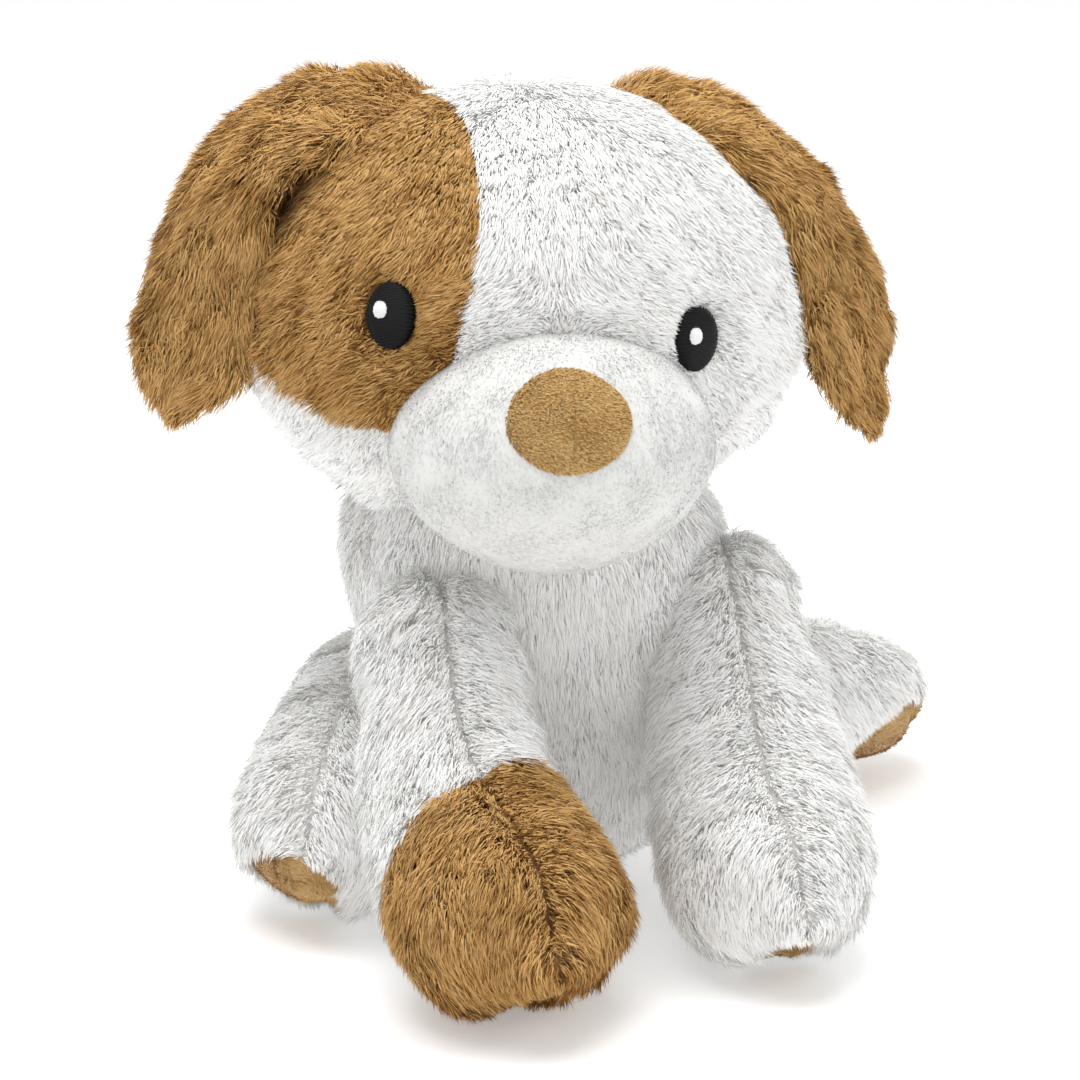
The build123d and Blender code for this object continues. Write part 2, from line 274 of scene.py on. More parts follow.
def pile(name, roots, comb, length, shades, body, width=0.42 * mm, lift=0.75,
         lay=0.85, wild=0.28, clump=0.45, clump_size=3.2 * mm, seed=1, tone=0.0, rounding=0.75):
    """Long pile: each lock of fibres is a thin leaf from one point in the cloth to its tip.
    It leaves the cloth along lift x outward + 0.6 lay x combed + a little chance (`wild`), bows
    over by its own weight, and its tip is drawn towards the mean tip of the locks within
    clump_size. Long locks take the lighter shades and short ones the darker, as painted shade
    deep in the pile; `tone` shifts that. Its normals are `rounding` of the way from its own to
    the cloth's."""
    random = np.random.default_rng(seed)
    where, out = roots[:2]
    shortest, longest = 0.68, 1.15
    count = len(where)
    comb = unit(comb - out * (comb * out).sum(-1, keepdims=True))
    chance = random.normal(size=(count, 3)) * wild
    sway = np.stack([ripple(where, 16 * mm, seed + k) for k in range(3)], -1) * wild
    spread = random.uniform(shortest, longest, count)
    length = (length * (1 + 0.14 * ripple(where, 22 * mm, seed + 5)) * spread)[:, None]
    first = unit(out * lift + comb * lay * 0.6 + chance + sway)
    second = unit(out * lift * 0.45 + comb * lay + chance * 1.3 + sway - np.array([0, 0, 0.22]))
    bend = where + first * length * 0.5
    tip = bend + second * length * 0.5
    wander = np.stack([ripple(where, 9 * mm, seed + 10 + k) for k in range(3)], -1)
    cell = np.floor((where + wander * clump_size * 0.6) / clump_size).astype(np.int64)
    group = np.unique(cell, axis=0, return_inverse=True)[1].ravel()
    members = np.bincount(group).astype(float)
    gather = np.stack([np.bincount(group, tip[:, k]) for k in range(3)], -1) / members[:, None]
    tip = tip + (gather[group] - tip) * clump * random.uniform(0.5, 1.0, (count, 1))
    side = unit(np.cross(out, second) + random.normal(size=(count, 3)) * 0.35)
    side = side * np.where((np.cross(side, second) * out).sum(-1, keepdims=True) < 0, -1, 1)
    half = side * (width / 2 * random.uniform(0.7, 1.2, (count, 1)))
    sunk_root = where - out * 0.4 * mm
    points = np.stack([sunk_root, bend - half, bend + half, tip], 1)
    points[..., 2] = np.maximum(points[..., 2], lowest_fibre)
    corners = (np.arange(count)[:, None] * 4 + np.array([0, 2, 1, 1, 2, 3])).ravel()
    mesh = bpy.data.meshes.new(name)
    mesh.vertices.add(count * 4)
    mesh.vertices.foreach_set("co", points.ravel())
    mesh.loops.add(count * 6)
    mesh.loops.foreach_set("vertex_index", corners.astype(np.int32))
    mesh.polygons.add(count * 2)
    mesh.polygons.foreach_set("loop_start", np.arange(0, count * 6, 3, dtype=np.int32))
    mesh.polygons.foreach_set("use_smooth", np.ones(count * 2, bool))
    # Short locks take darker shades: painted shade deep in the pile, with tone that differs at random
    # on top.
    shade = (spread - shortest) / (longest - shortest) + tone + 0.16 * ripple(where, 14 * mm, seed + 30)
    shade = shade + random.normal(size=count) * 0.15
    shade = np.clip(shade * len(shades), 0, len(shades) - 1)
    mesh.polygons.foreach_set("material_index", np.repeat(shade.astype(np.int32), 2))
    for finish in shades:
        mesh.materials.append(finish)
    mesh.update(calc_edges=True)
    soft = unit(unit(np.cross(side, second)) * (1 - rounding) + out * rounding)
    mesh.normals_split_custom_set_from_vertices(np.repeat(soft, 4, axis=0))
    piece = bpy.data.objects.new(name, mesh)
    scene.collection.objects.link(piece)
    belong(piece, body)


torso_radius, torso_half_height = 50 * mm, 74 * mm
torso_middle = np.array([0, 5, 70]) * mm
shoulder_height = 100 * mm
neck_height = 131 * mm
seat_seam = 14 * mm
head_middle = np.array([-12, -8, 177]) * mm


def torso_point(z, angle):
    """A pear turned about an upright axis that leans towards the neck. Its radius is the n-th
    root of 1 - h^n, where h is the height from its middle as a share of its half height and n
    is 2.2 below and 3 above. The shoulders are up to 13 percent broader."""
    share = np.clip(np.abs((z - torso_middle[2]) / torso_half_height), 0, 1)
    power = np.where(z > torso_middle[2], 3.0, 2.2)
    radius = torso_radius * (1 - share ** power) ** (1 / power)
    broader = 1 + 0.13 * np.exp(-((z - shoulder_height) / (24 * mm)) ** 2)
    lean = np.clip((z - 80 * mm) / (50 * mm), 0, 1)[..., None] * np.array([-9, -6, 0]) * mm
    around = np.stack([radius * np.cos(angle) * broader, radius * np.sin(angle), z], -1)
    return around + torso_middle * np.array([1, 1, 0]) + lean


def torso_panel(angle_from, angle_to, z_from, z_to, rows, columns):
    """A panel of the pear between two angles and two heights, its rows from the top down."""
    heights, angles = np.linspace(z_from, z_to, rows), np.linspace(angle_from, angle_to, columns)
    return torso_point(*np.meshgrid(heights, angles, indexing="ij"))


def closing_cap(edge, middle, rows):
    """Rows that carry an edge in to a middle point, for a panel's closed end."""
    share = np.linspace(0, 1, rows)[:, None, None]
    return edge[None] * (1 - share) + np.asarray(middle) * share


# Each limb's line, in millimetres: where its middle is, and its half width and half height
# there, from the root to the tip. The last number is the radius of its round root.
front_ball = 28
limb_tables = {
    "front_leg_right": (
        ((-50, -35, 83, 26, 26), (-57, -68, 51, 30, 25), (-57, -98, 32, 33, 29),
         (-57, -115, 29, 29, 26), (-57, -127, 25, 13, 12)), front_ball),
    "front_leg_left": (
        ((41, -35, 83, 26, 26), (31, -72, 51, 30, 25), (23, -100, 31, 31, 28),
         (20, -115, 28, 26, 25), (19, -126, 24, 13, 12)), front_ball),
    "hind_leg_right": (
        ((-46, 16, 40, 31, 31), (-67, -6, 34, 30, 31), (-84, -28, 27, 27, 25),
         (-91, -37, 24, 14, 13)), 33.5),
    "hind_leg_left": (
        ((58, 18, 37, 27, 27), (95, 19, 31, 27, 26), (127, 21, 25, 22, 21),
         (137, 21, 23, 11, 11)), 29),
    "tail": (
        ((0, 50, 34, 10.5, 10.5), (0, 66, 36, 10.5, 10), (0, 82, 42, 9.5, 9),
         (0, 95, 51, 6, 6)), 12),
}
bare_root = 5        # torso pile starts this far inside a limb's root


def outside_limbs(points):
    """True where a point lies outside every limb's root."""
    kept = np.ones(points.shape[:-1], bool)
    for stations, ball in limb_tables.values():
        place, radius = np.array(stations[0][:3]) * mm, (ball - bare_root) * mm
        kept &= np.linalg.norm(points - place, axis=-1) > radius
    return kept


neck_blend = ("torso", "neck", (-0.012, -0.008, 0.100), (-0.012, -0.008, 0.128))
down_comb = np.array([0, 0, -1.0])
for name, angles, count, seed in (
    ("belly", (-np.pi, 0), 56000, 11), ("back", (0, np.pi), 44000, 12),
):
    hidden = ["torso_stuffing", "neck_stuffing"] if name == "back" else []
    panel = torso_panel(*angles, neck_height, seat_seam, 56, 56)
    lip = closing_cap(panel[0], head_middle - np.array([0, 0, 40]) * mm, 6)[::-1]
    sew(f"{name}_cloth", [np.concatenate([lip[:-1], panel])], white_backing, neck_blend,
        [f"{name}_cover", *hidden])
    roots = spread_roots(panel, count, seed, keep=outside_limbs)
    pile(f"{name}_pile", roots, np.broadcast_to(down_comb, roots[0].shape), 8 * mm, white_shades,
         neck_blend, seed=seed, wild=0.2)

seat = soft_floor(torso_panel(-np.pi, np.pi, seat_seam, 0, 12, 110))
seat = np.concatenate([seat, closing_cap(seat[-1], (0, 0.005, seat[-1, 0, 2]), 6)[1:]])
sew("seat_cloth", [seat], white_backing, "torso", ["seat_cover", "seat_pellet_pouch"])
roots = spread_roots(seat[:11], 9000, 13, keep=outside_limbs)
pile("seat_pile", roots, roots[1] + np.array([0, 0, 0.2]), 7 * mm, white_shades, "torso",
     seed=13)

# ---- head: two plush colours over one stuffed egg ------------------------------------
# The head is sewn from a brown patch over the dog's right eye, white face and jaw panels
# and a white back, with the seam over the top just behind the ears.
head_yaw = np.radians(-14)
head_turn = np.array([
    [np.cos(head_yaw), -np.sin(head_yaw), 0],
    [np.sin(head_yaw), np.cos(head_yaw), 0],
    [0, 0, 1],
])
head_half_width, head_radius = 76 * mm, 62 * mm
muzzle_offset = np.array([0, -50, -30]) * mm
jaw_seam, crown_seam = -27, 100     # degrees from the face over the top
eye_half_width, eye_half_height = 7 * mm, 9 * mm
eye_places = {"right": (-44, 9), "left": (39, 0)}


def from_head(points):
    """Points in the head's own directions (sideways, back, up) carried to where the head is."""
    return points @ head_turn.T + head_middle


def to_head(points):
    """Points carried back into the head's own directions."""
    return (points - head_middle) @ head_turn


def head_point(swing, angle):
    """An egg turned about its sideways axis: swing runs from one cheek to the other, and angle
    turns from the face (0) over the top (90 degrees). The jaw is a little broader."""
    jaw = np.exp(-((np.degrees(angle) + 48) / 38) ** 2)
    sideways = head_half_width * np.sin(swing) * (1 + 0.05 * jaw)
    radius = head_radius * np.clip(np.cos(swing), 0, 1) ** (1 - 0.10 * jaw)
    return from_head(np.stack([sideways, -radius * np.cos(angle), radius * np.sin(angle)], -1))


def patch_seam(angle):
    """The swing of the patch's seam at each angle. It bows towards the middle: the seam is
    18 mm aside at 52 degrees, and more by the square of the angle from there."""
    degrees = np.degrees(angle)
    return np.arcsin((-18 - 0.0032 * (degrees - 52) ** 2) * mm / head_half_width)


def head_panel(side, angle_from, angle_to, rows, columns):
    """A panel between two angles, on the patch's side (-1) of its seam, past it (1), or all (0)."""
    share, angle = np.meshgrid(
        np.linspace(0, 1, rows), np.radians(np.linspace(angle_from, angle_to, columns)), indexing="ij"
    )
    seam = patch_seam(np.clip(angle, np.radians(jaw_seam), np.radians(crown_seam)))
    left, right = -np.pi / 2, np.pi / 2
    if side == 0:
        swing = np.where(
            share <= 0.5, left + share * 2 * (seam - left), seam + (share * 2 - 1) * (right - seam)
        )
    elif side < 0:
        swing = left + share * (seam - left)
    else:
        swing = seam + share * (right - seam)
    return head_point(swing, angle)


# The brown backing is the cloth's own brown, darkened below most of the pile as painted shade at the
# roots.
brown_backing = knit_backing("brown_backing", (0.28, 0.135, 0.042))
brown_shades = pile_dye_and_shade("brown_pile", [
    (0.20, 0.085, 0.020), (0.36, 0.175, 0.045), (0.49, 0.26, 0.075), (0.59, 0.335, 0.110),
    (0.68, 0.42, 0.160),
])


def eye_middle(side):
    """Where an eye is on the head, in the head's own directions, and its outward direction."""
    across, up = np.array(eye_places[side]) * mm
    radius = head_radius * np.sqrt(1 - (across / head_half_width) ** 2)
    back = -np.sqrt(radius ** 2 - up ** 2)
    place = np.array([across, back, up])
    out = unit(place / np.array([head_half_width, head_radius, head_radius]) ** 2)
    return place, out


def from_eye(own, side):
    """How far points are from an eye's middle, seen from the front: 1 on the stitching's edge."""
    off = own - eye_middle(side)[0]
    return np.hypot(off[..., 0] / eye_half_width, off[..., 2] / eye_half_height)


def from_muzzle(own, half_height):
    """How far points are from the muzzle's middle: 1 on an egg with the muzzle's width."""
    egg = np.array([45.5 * mm, 45.5 * mm, half_height])
    return np.linalg.norm((own - muzzle_offset) / egg, axis=-1)


def clear_of_face(points):
    """True where head pile may grow: not under the muzzle, an eye or the neck."""
    own = to_head(points)
    kept = from_muzzle(own, 33 * mm) > 0.985
    for side in eye_places:
        kept &= (from_eye(own, side) > 1) | (own[..., 1] > 0)
    beside_neck = np.linalg.norm((points - head_middle)[..., :2], axis=-1) > 22 * mm
    return kept & (beside_neck | (points[..., 2] > 130 * mm))


def face_trim(own):
    """The share of full length that pile has beside the eyes and the muzzle, where it is sewn
    down and trimmed: 0.35 at their edge, and all of it a little way off."""
    near = np.clip((from_muzzle(own, 35 * mm) - 1) / 0.3, 0, 1)
    for side in eye_places:
        near_eye = np.clip((from_eye(own, side) - 1) / 0.7, 0, 1)
        near = np.where(own[:, 1] < 0, np.minimum(near, near_eye), near)
    return 0.35 + 0.65 * near


def face_comb(where, low):
    """Pile is brushed down, and lower on the head also outward from the nose."""
    away = to_head(where) - muzzle_offset
    away[:, 1] *= 0.3
    return unit(away) @ head_turn.T * (0.15 + 0.85 * low)[:, None] + np.array([0, 0, -0.8])


patch = head_panel(-1, jaw_seam, crown_seam, 56, 80)
face = head_panel(1, jaw_seam, crown_seam, 76, 80)
jaw = head_panel(0, -90, jaw_seam, 131, 40)
nape = head_panel(0, crown_seam, 270, 131, 80)
sew("eye_patch_cloth", [patch], brown_backing, "head", ["eye_patch_cover"])
sew("face_cloth", [face, jaw], white_backing, "head", ["face_cover"])
sew("head_back_cloth", [nape], white_backing, "head", ["head_back_cover", "head_stuffing"])
for name, grid, count, shades, slot, short, long, seed in (
    ("eye_patch_pile", patch, 52000, brown_shades, "brown_long_pile", 4.5, 8.5, 21),
    ("face_pile", face, 66000, white_shades, "white_long_pile", 5.0, 8.0, 22),
    ("jaw_pile", jaw, 36000, white_shades, "white_long_pile", 8.0, 8.0, 23),
    ("head_back_pile", nape, 50000, white_shades, "white_long_pile", 7.5, 7.5, 24),
):
    roots = spread_roots(grid, count, seed, keep=clear_of_face)
    own = to_head(roots[0])
    low = np.clip((25 * mm - own[:, 2]) / (50 * mm) + 0.5, 0, 1) * (own[:, 1] < 20 * mm)
    length = (short + (long - short) * low) * mm * face_trim(own)
    # On the eye patch, pile lower on the head takes darker shades, painted shade where less light falls
    # from above; the upper pile has lighter and darker bands along the knit's rows.
    rows = 0.22 * np.sin(own[:, 2] * 2 * np.pi / (1.9 * mm)) * (1 - low)
    tone = rows - 0.12 * low if name == "eye_patch_pile" else 0.0
    pile(name, roots, face_comb(roots[0], low), length, shades, "head", seed=seed,
         wild=(0.08 + 0.2 * low)[:, None], clump=0.5, tone=tone)

# ---- muzzle and nose: short pile ------------------------------------------------------
# The muzzle is a stuffed egg of short white pile with a seam round its back edge. The nose
# is an oval of short tan pile sewn on its front, with its nap lying sideways.
muzzle_size = np.array([45.5, 45, 33.5]) * mm
muzzle_swell = 0.10      # how much higher its upper half is


def muzzle_point(opening, angle):
    """An egg with its pole at the front: opening runs back from the pole and angle turns round
    it. Below its middle the egg narrows to a soft chin, and a seam over its top is drawn in."""
    low, high = np.clip(-np.sin(angle), 0, 1), np.clip(np.sin(angle), 0, 1)
    sideways = muzzle_size[0] * np.sin(opening) * np.cos(angle) * (1 - 0.07 * low ** 2)
    pinch = 1 - 0.015 * np.exp(-((angle - np.pi / 2) / 0.045) ** 2) * np.sin(opening)
    fuller = (1 + 0.03 * low ** 2 + muzzle_swell * high) * pinch
    up = muzzle_size[2] * np.sin(opening) * np.sin(angle) * fuller
    forward = -muzzle_size[1] * np.cos(opening)
    return from_head(np.stack([sideways, forward, up], -1) + muzzle_offset)


opening, angle = np.meshgrid(
    np.radians(np.linspace(0, 112, 64)), np.radians(np.linspace(-180, 180, 181)), indexing="ij"
)
muzzle = muzzle_point(opening, angle)
# The muzzle's cloth and pile are a greyer white than the head's: partly the short pile's own duller
# white, partly painted shade on a front that faces away from the top lamp.
short_white = knit_backing("short_white_backing", (0.77, 0.77, 0.75), bump=0.3, shadow=0.96)
short_shades = pile_dye_and_shade("short_white_pile", [
    (0.73, 0.73, 0.71), (0.77, 0.77, 0.75), (0.80, 0.80, 0.785),
])
sew("muzzle_cloth", [muzzle], short_white, "head", ["muzzle_cover"])


def clear_of_head(points):
    """True where the muzzle stands clear of the head."""
    own = to_head(points) / np.array([head_half_width, head_radius, head_radius])
    return np.linalg.norm(own, axis=-1) > 0.98


roots = spread_roots(muzzle, 44000, 31, keep=clear_of_head)
pile("muzzle_pile", roots, np.broadcast_to(down_comb, roots[0].shape), 0.9 * mm, short_shades,
     "head", width=0.3 * mm, seed=31, lift=0.22, lay=0.95, wild=0.2, clump=0.0,
     rounding=1.0, tone=0.2)

nose_lift = np.radians(24)
nose_half_width, nose_half_height = 16.5 * mm, 14 * mm
nose_aside = 2 * mm      # towards the dog's right


def nose_point(reach, angle):
    """An oval on the muzzle's front, raised by the thickness of its own cloth. Its depth is where
    a line through each point of a flat oval meets the egg, found in a few steps because the
    egg's height varies round it."""
    forward = np.array([0, -np.cos(nose_lift), np.sin(nose_lift)])
    upward = np.array([0, np.sin(nose_lift), np.cos(nose_lift)])
    sideways = nose_half_width * reach * np.cos(angle)
    pointed = 1 + 0.08 * np.clip(np.sin(angle), 0, 1) ** 8
    up = nose_half_height * reach * np.sin(angle) * pointed
    flat = (sideways - nose_aside)[..., None] * np.array([1, 0, 0]) + up[..., None] * upward
    size = np.broadcast_to(muzzle_size, flat.shape).copy()
    for _ in range(6):
        a = ((forward / size) ** 2).sum(-1)
        b = (flat * forward / size ** 2).sum(-1)
        c = ((flat / size) ** 2).sum(-1) - 1
        depth = (-b + np.sqrt(b * b - a * c)) / a
        place = (flat + forward * depth[..., None]) / size
        high = np.clip(place[..., 2] / np.hypot(place[..., 0], place[..., 2]), 0, 1)
        size[..., 2] = muzzle_size[2] * (1 + muzzle_swell * high)
    raised = 1.4 * mm * np.sqrt(np.clip(1 - reach ** 6, 0, 1)) - 0.4 * mm * (reach > 0.999)
    crease = 0.5 * mm * np.exp(-(sideways / (0.9 * mm)) ** 2)
    return from_head(flat + forward * (depth + raised - crease)[..., None] + muzzle_offset)


reach, angle = np.meshgrid(
    np.sin(np.linspace(0, np.pi / 2, 40)), np.radians(np.linspace(-180, 180, 120)), indexing="ij"
)
nose = nose_point(reach, angle)
tan_backing = knit_backing("short_tan_pile", (0.52, 0.33, 0.14), bump=0.35)
tan_shades = pile_dye_and_shade("tan_pile", [
    (0.42, 0.24, 0.075), (0.54, 0.32, 0.11), (0.62, 0.385, 0.145), (0.70, 0.465, 0.195),
])
sew("nose_cloth", [nose], tan_backing, "head", ["nose_patch"],
    thickness=0)
roots = spread_roots(nose, 16000, 33)
side_comb = np.broadcast_to(head_turn @ np.array([1.0, 0, -0.35]), roots[0].shape)
pile("nose_pile", roots, side_comb, 1.4 * mm, tan_shades, "head",
     width=0.32 * mm, seed=33, lift=0.45, lay=1.0, wild=0.2, clump=0.4, clump_size=1.2 * mm,
     rounding=0.6)

# ---- eyes: satin stitching -------------------------------------------------------------
# Each eye is an oval of black satin stitches on a raised pad, and a small white oval of
# stitches over its upper right side for a glint.
thread = 0.42 * mm
pad_height = 1.8 * mm
face_curve = 68 * mm
black_thread = plain_finish("black_thread", (0.006, 0.006, 0.007), 0.42)
white_thread = plain_finish("white_thread", (0.9, 0.9, 0.9), 0.5)


def satin_oval(name, side, offset, size, height, finish, node):
    """Rows of stitches across an oval: each is a round thread that arches from edge to edge.
    Row k lies at height y, its half length is the oval's chord there, and the whole pad bends
    back as the face does, by distance squared over twice the face's radius."""
    place, out = eye_middle(side)
    right = unit(np.cross(np.array([0, 0, 1.0]), -out))
    up = np.cross(-out, right)
    up = up * np.sign(up[2])
    rows = int(2 * size[1] * mm / thread)
    y = (np.arange(rows) + 0.5) / rows * 2 - 1
    chord = size[0] * mm * np.sqrt(1 - y ** 2) * (1 + 0.03 * np.sin(np.arange(rows) * 2.4))
    t = np.linspace(-1, 1, 15)
    arch = np.sqrt(np.clip(1 - np.abs(t) ** 3.5, 0, 1))
    dome = height * (1 - 0.55 * (y[:, None] ** 2)) * arch + pad_height
    aside = chord[:, None] * t + offset[0] * mm
    level = np.broadcast_to((y * size[1] * mm)[:, None], aside.shape) + offset[1] * mm
    rise = dome - (aside ** 2 + level ** 2) / (2 * face_curve)
    line = place + right * aside[..., None] + up * level[..., None] + out * rise[..., None]
    turn = np.linspace(0, 2 * np.pi, 7)
    ring = up * np.cos(turn)[:, None] + out * np.sin(turn)[:, None]
    tubes = from_head(line[:, :, None] + ring * thread * 0.62)
    sew(name, list(tubes), finish, "head", [node], thickness=0, turn=-1)


for side in ("right", "left"):
    satin_oval(f"eye_{side}_stitches", side, (0, 0), (7.4, 9.1), 2.6 * mm, black_thread,
               f"eye_{side}")
    satin_oval(f"eye_{side}_glint_stitches", side, (2.1, 1.4), (2.6, 3.2), 3.4 * mm, white_thread,
               f"eye_glint_{side}")

# ---- ears: two layers each, floppy ------------------------------------------------------
# Each ear is a flat bag of brown plush with no stuffing, sewn into the seam over the head.
# It stands out from its root, folds over and hangs.

# Each ear's line, from inside the head to its tip, for an ear on the side of +X: where its
# middle is (mm), which way its width runs, and its half width and half thickness (mm). The
# number before the line is -1 for the ear on the other side.
ear_tables = {
    "right": (-1, (
        (30, 6, 50, .45, -.75, -.45, 14, 3), (44, 6, 58, .45, -.75, -.45, 17, 3.5),
        (68, 6, 55, .2, -.85, -.4, 21, 5), (88, 6, 38, -.25, -.9, -.2, 22, 6),
        (96, 3, 12, -.6, -.75, 0, 22, 6), (100, 1, -8, -.7, -.7, 0, 20, 5),
        (105, 0, -25, -.7, -.7, 0, 8, 3))),
    "left": (1, (
        (34, 6, 46, .45, -.75, -.45, 14, 3), (49, 6, 54, .45, -.75, -.45, 17, 3.5),
        (70, 6, 48, .2, -.85, -.4, 21, 5), (89, 6, 31, -.25, -.9, -.2, 22, 6),
        (98, 3, 7, -.6, -.75, 0, 22, 6), (103, 1, -13, -.7, -.7, 0, 20, 5),
        (110, 0, -38, -.7, -.7, 0, 8, 3))),
}
tip_from = 0.80      # the share of the ear's length at which its tip starts to narrow


def through(stations, steps):
    """A smooth line through rows of numbers: a cubic between each pair, whose slope at a row is
    half the way from the row before it to the row after it. A step runs from 0 to 1."""
    rows = np.asarray(stations, float)
    t = np.clip(steps, 0, 1) * (len(rows) - 1)
    i = np.clip(t.astype(int), 0, len(rows) - 2)
    f = (t - i)[:, None]
    ends = np.vstack([2 * rows[0] - rows[1], rows, 2 * rows[-1] - rows[-2]])
    a, b, c, d = ends[i], ends[i + 1], ends[i + 2], ends[i + 3]
    return 0.5 * (2 * b + (c - a) * f + (2 * a - 5 * b + 4 * c - d) * f ** 2
                  + (3 * b - a - 3 * c + d) * f ** 3)


def ear_layer(sign, table, face, rows=64, columns=31):
    """A flat tapering strip along the ear's line, arched by the layer's thickness: width falls
    to a round tip, and the long edges roll in and wave a little. `face` is 1 in front."""
    steps = np.linspace(0, 1, rows)
    line = through(table, steps)
    line[:, [0, 3]] *= sign
    middle = (line[:, :3] - np.array([4.5 * sign, 0, 4])) * mm
    along = unit(np.gradient(middle, axis=0))
    wide = unit(line[:, 3:6] - along * (line[:, 3:6] * along).sum(-1, keepdims=True))
    thick = np.cross(wide, along) * sign
    taper = np.sqrt(1 - np.clip((steps - tip_from) / (1 - tip_from), 0, 1) ** 2.4)
    half_width, half_thick = line[:, 6] * mm * 0.92 * taper, line[:, 7] * mm * 0.55
    w = np.sin(np.linspace(-np.pi / 2, np.pi / 2, columns))
    arch = np.sqrt(1 - w ** 2)
    roll = 2.5 * mm * w ** 4 * np.sin(np.pi * steps)[:, None]
    wave = 1.5 * mm * np.sin(steps * 9 + sign)[:, None] * w ** 2
    rise = face * half_thick[:, None] * (arch * taper[:, None] + 0.02) - roll + wave
    return from_head(middle[:, None] + wide[:, None] * (half_width[:, None] * w)[..., None]
                     + thick[:, None] * rise[..., None])


for side, (sign, table) in ear_tables.items():
    root = from_head(np.array(table[1][:3]) * np.array([sign, 1, 1]) * mm)
    outward = head_turn @ np.array([sign, 0, -0.2])
    hinge = ("head", f"ear_{side}", root - outward * 4 * mm, root + outward * 14 * mm)
    for layer, face, count, length in (("front", 1, 48000, 9.0), ("back", -1, 24000, 6.5)):
        grid = ear_layer(sign, table, face)
        turn = -face * sign
        sew(f"ear_{side}_{layer}_cloth", [grid], brown_backing, hinge, [f"ear_{side}_{layer}"],
            turn=turn, thickness=0.6 * mm)
        seed = 40 + 2 * (side == "left") + (layer == "back")
        roots = spread_roots(grid, count, seed, turn=turn)
        pile(f"ear_{side}_{layer}_pile", roots, roots[2] + np.array([0, 0, -0.3]), length * mm,
             brown_shades, hinge, seed=seed, wild=0.26, clump=0.55, lay=0.7)

# ---- legs and tail: stuffed tubes --------------------------------------------------------
# Each limb is two long panels sewn along its top and underside, closed at the end by a short
# tan sole. The dog's right front leg ends in a brown paw. The tail has no sole.
pile_depth = 3.5         # how far a limb's cloth lies inside its pile, in millimetres
root_end, tip_start = 0.14, 0.90     # the steps at which a limb's round ends stop and start


def limb_point(stations, ball, step, angle):
    """An oval tube along the limb's line with round ends. step runs from the root's pole (0) to
    the tip's pole (1). The seams, at angles of 90 degrees (on top) and 270, are drawn in a
    little, and a front leg is slimmer near its root."""
    inner = np.clip((step - root_end) / (tip_start - root_end), 0, 1)
    line = through(stations, inner.ravel()).reshape(*step.shape, 5) * mm
    fine = through(stations, np.linspace(0, 1, 400))[:, :3] * mm
    tangents = unit(np.gradient(fine, axis=0))
    along = tangents[np.clip((inner * 399).round().astype(int), 0, 399)]
    side = unit(np.cross(along, np.array([0, 0, 1.0])))
    top = np.cross(side, along)
    root_turn = np.clip(1 - step / root_end, 0, 1) * np.pi / 2
    tip_turn = np.clip((step - tip_start) / (1 - tip_start), 0, 1) * np.pi / 2
    slimmer = 4.0 if ball == front_ball else 0.0
    ball_radius = (ball - pile_depth - slimmer) * mm
    inset = (pile_depth + slimmer * np.exp(-(inner / 0.3) ** 2)) * mm
    end_taper = np.cos(root_turn) * np.cos(tip_turn)
    width = np.where(step < root_end, ball_radius, line[..., 3] - inset) * end_taper
    depth = np.where(step < root_end, ball_radius, line[..., 4] - inset) * end_taper
    reach = (line[..., 4] - inset) * 0.8 * np.sin(tip_turn) - ball_radius * np.sin(root_turn)
    seam = np.exp(-((np.abs(np.sin(angle)) - 1) / 0.012) ** 2) * 1.6 * mm * (width > 8 * mm)
    c, s = np.cos(angle), np.sin(angle)
    return (line[..., :3] + along * reach[..., None] + side * (width * c)[..., None]
            + top * ((depth - seam) * s)[..., None])


def crossing(stations, ball, angle, point, facing):
    """For each angle, the first of 300 steps at which the limb's surface is past a plane."""
    steps = np.linspace(0.05, 1, 300)
    grid = limb_point(stations, ball, *np.meshgrid(steps, angle, indexing="ij"))
    past = ((grid - point) @ facing) > 0
    return steps[np.where(past.any(0), past.argmax(0), len(steps) - 1)]


def limb_panel(stations, ball, start, end, angle, rows):
    """A panel from one step to another along the limb, both given for each angle."""
    share = np.linspace(0, 1, rows)[:, None]
    step = start * (1 - share) + end * share
    return soft_floor(limb_point(stations, ball, step, np.broadcast_to(angle, step.shape)))


def outside_torso(points):
    """True where a point lies outside the torso, taken as an egg."""
    egg = np.array([torso_radius, torso_radius, torso_half_height])
    return np.linalg.norm((points - torso_middle) / egg, axis=-1) > 0.97


def limb_pile(node, grid, count, angle, shades, body, seed):
    """Pile on one panel of a limb. It lies along the limb and away from the top seam, more so
    beside it, and it is trimmed at the seams and where the panel meets a sole."""
    roots = spread_roots(grid, count, seed, keep=outside_torso)
    down_rows, along_rows, share = roots[2:]
    rightward = angle.mean() < np.pi / 2
    from_top = 1 - share[:, 1] if rightward else share[:, 1]
    from_seam = np.minimum(from_top, 1 - from_top)
    away = along_rows * (-1 if rightward else 1)
    parting = 0.45 + 0.6 * np.exp(-(from_top / 0.3) ** 2)
    comb = down_rows * 0.75 + away * parting[:, None] + np.array([0, 0, -0.1])
    length = 8.5 * mm * (0.4 + 0.6 * np.clip(from_seam / 0.10, 0, 1))
    if node not in ("front_leg_right_outer", "front_leg_right_inner"):
        length = length * (0.5 + 0.5 * np.clip((1 - share[:, 0]) / 0.10, 0, 1))
    pile(f"{node}_pile", roots, comb, length, shades, body, seed=seed, wild=0.2)


def sewn_sole(name, stations, ball, point, facing):
    """The short pile sole that closes a limb past a plane."""
    angle = np.radians(np.linspace(-90, 270, 91))
    begin = crossing(stations, ball, angle, point, facing)
    grid = limb_panel(stations, ball, begin, np.ones_like(angle), angle, 20)
    sew(f"{name}_sole_cloth", [grid], tan_backing, name, [f"{name}_sole"])
    roots = spread_roots(grid, 5000, 90)
    pile(f"{name}_sole_pile", roots, roots[3], 1.5 * mm, tan_shades, name,
         width=0.26 * mm, seed=90, lift=0.45, lay=1.0, wild=0.25, clump=0.3, clump_size=1.2 * mm)


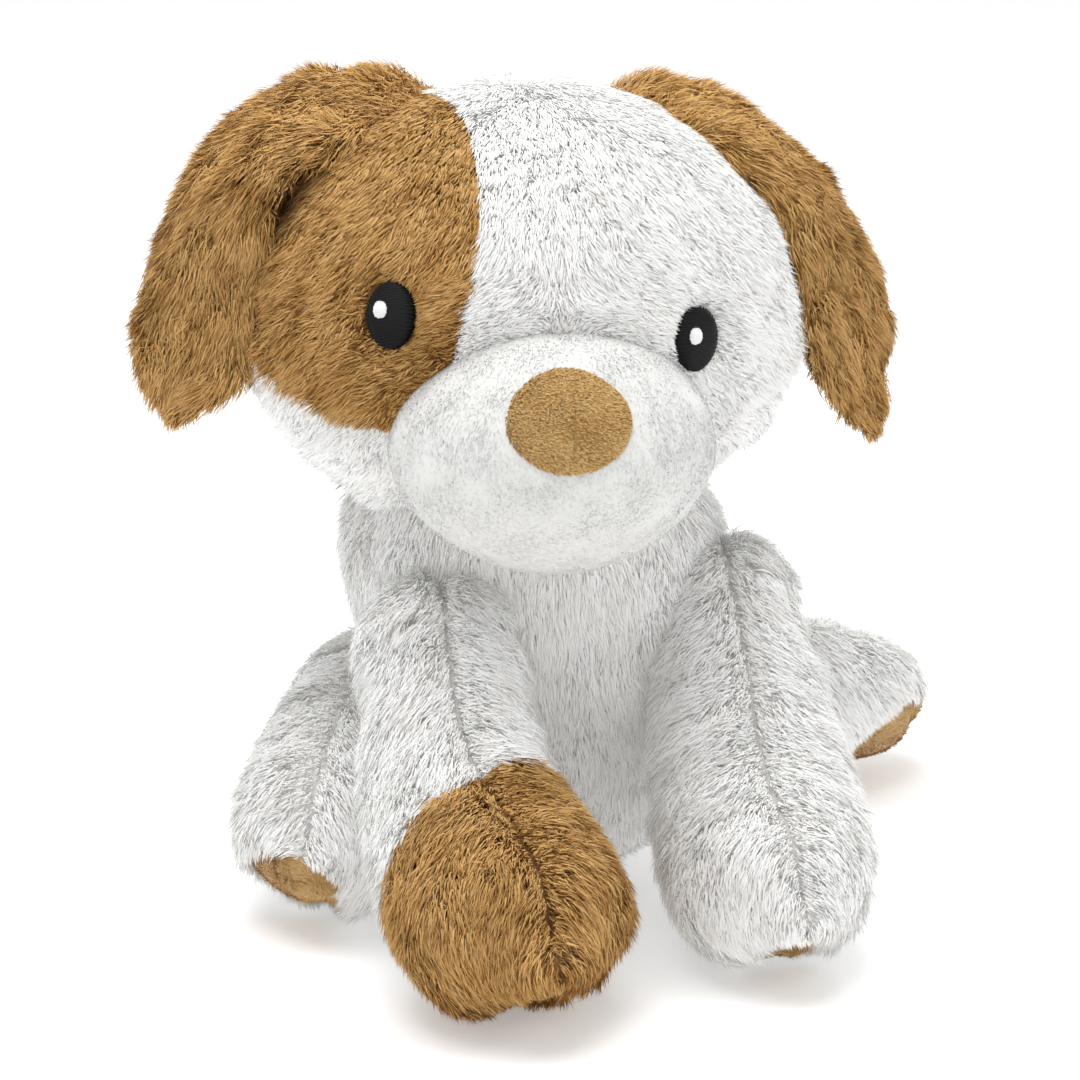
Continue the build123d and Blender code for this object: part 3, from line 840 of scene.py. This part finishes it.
sole_facings = {
    "front_leg_right": (0, -0.6, -1), "front_leg_left": (-0.1, -0.6, -1),
    "hind_leg_right": (-0.7, -0.4, -0.75), "hind_leg_left": (0.55, -0.75, -0.9),
}
pile_counts = {
    "front_leg_right": 26000, "front_leg_left": 38000, "hind_leg_right": 22000,
    "hind_leg_left": 22000, "tail": 5000,
}
right_half = np.radians(np.linspace(-90, 90, 37))
left_half = np.radians(np.linspace(90, 270, 37))
white_looks = (white_backing, white_shades, "white_long_pile")
brown_looks = (brown_backing, brown_shades, "brown_long_pile")
for name, (stations, ball) in limb_tables.items():
    root, tip = np.array(stations[0][:3]) * mm, np.array(stations[-1][:3]) * mm
    level = unit((tip - root) * np.array([1, 1, 0]))
    hinge = ("torso", name, root - level * 14 * mm, root + level * 26 * mm)
    halves = (("outer", right_half), ("inner", left_half))
    if name.endswith("left"):
        halves = (("outer", left_half), ("inner", right_half))
    if name == "tail":
        halves = (("left", right_half), ("right", left_half))
    facing = unit(sole_facings.get(name, (0, 0, -1)))
    sole_from = tip - np.array([0, 0, 6 if name.startswith("front") else 1]) * mm
    for half, angle in halves:
        start, end = np.zeros_like(angle), np.ones_like(angle)
        if name != "tail":
            end = crossing(stations, ball, angle, sole_from, facing)
        sections = [(f"{name}_{half}", start, end, white_looks)]
        if name == "front_leg_right":
            ankle_facing = unit(level + np.array([0.35, 0, -0.12]))
            ankle = crossing(stations, ball, angle, root + level * 50 * mm, ankle_facing)
            sections = [(f"{name}_{half}", start, ankle, white_looks),
                        (f"{name}_paw_{half}", ankle, end, brown_looks)]
        for number, (node, begin, stop, (backing, shades, slot)) in enumerate(sections):
            grid = limb_panel(stations, ball, begin, stop, angle, 56)
            hidden = [f"{name}_stuffing"] if half == halves[0][0] and number == 0 else []
            sew(f"{node}_cloth", [grid], backing, hinge, [node, *hidden])
            limb_pile(node, grid, pile_counts[name], angle, shades, hinge,
                      seed=60 + len(node) * 3 + number)
    if name != "tail":
        sewn_sole(name, stations, ball, sole_from, facing)

# ---- care label ---------------------------------------------------------------------------
# A short loop of blank white satin tape is caught in the seat seam at the back.
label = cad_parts["care_label"]
tape = knit_backing("label_tape", (0.88, 0.88, 0.87), wale=0.3 * mm, bump=0.1)
label.data.materials.clear()
label.data.materials.append(tape)
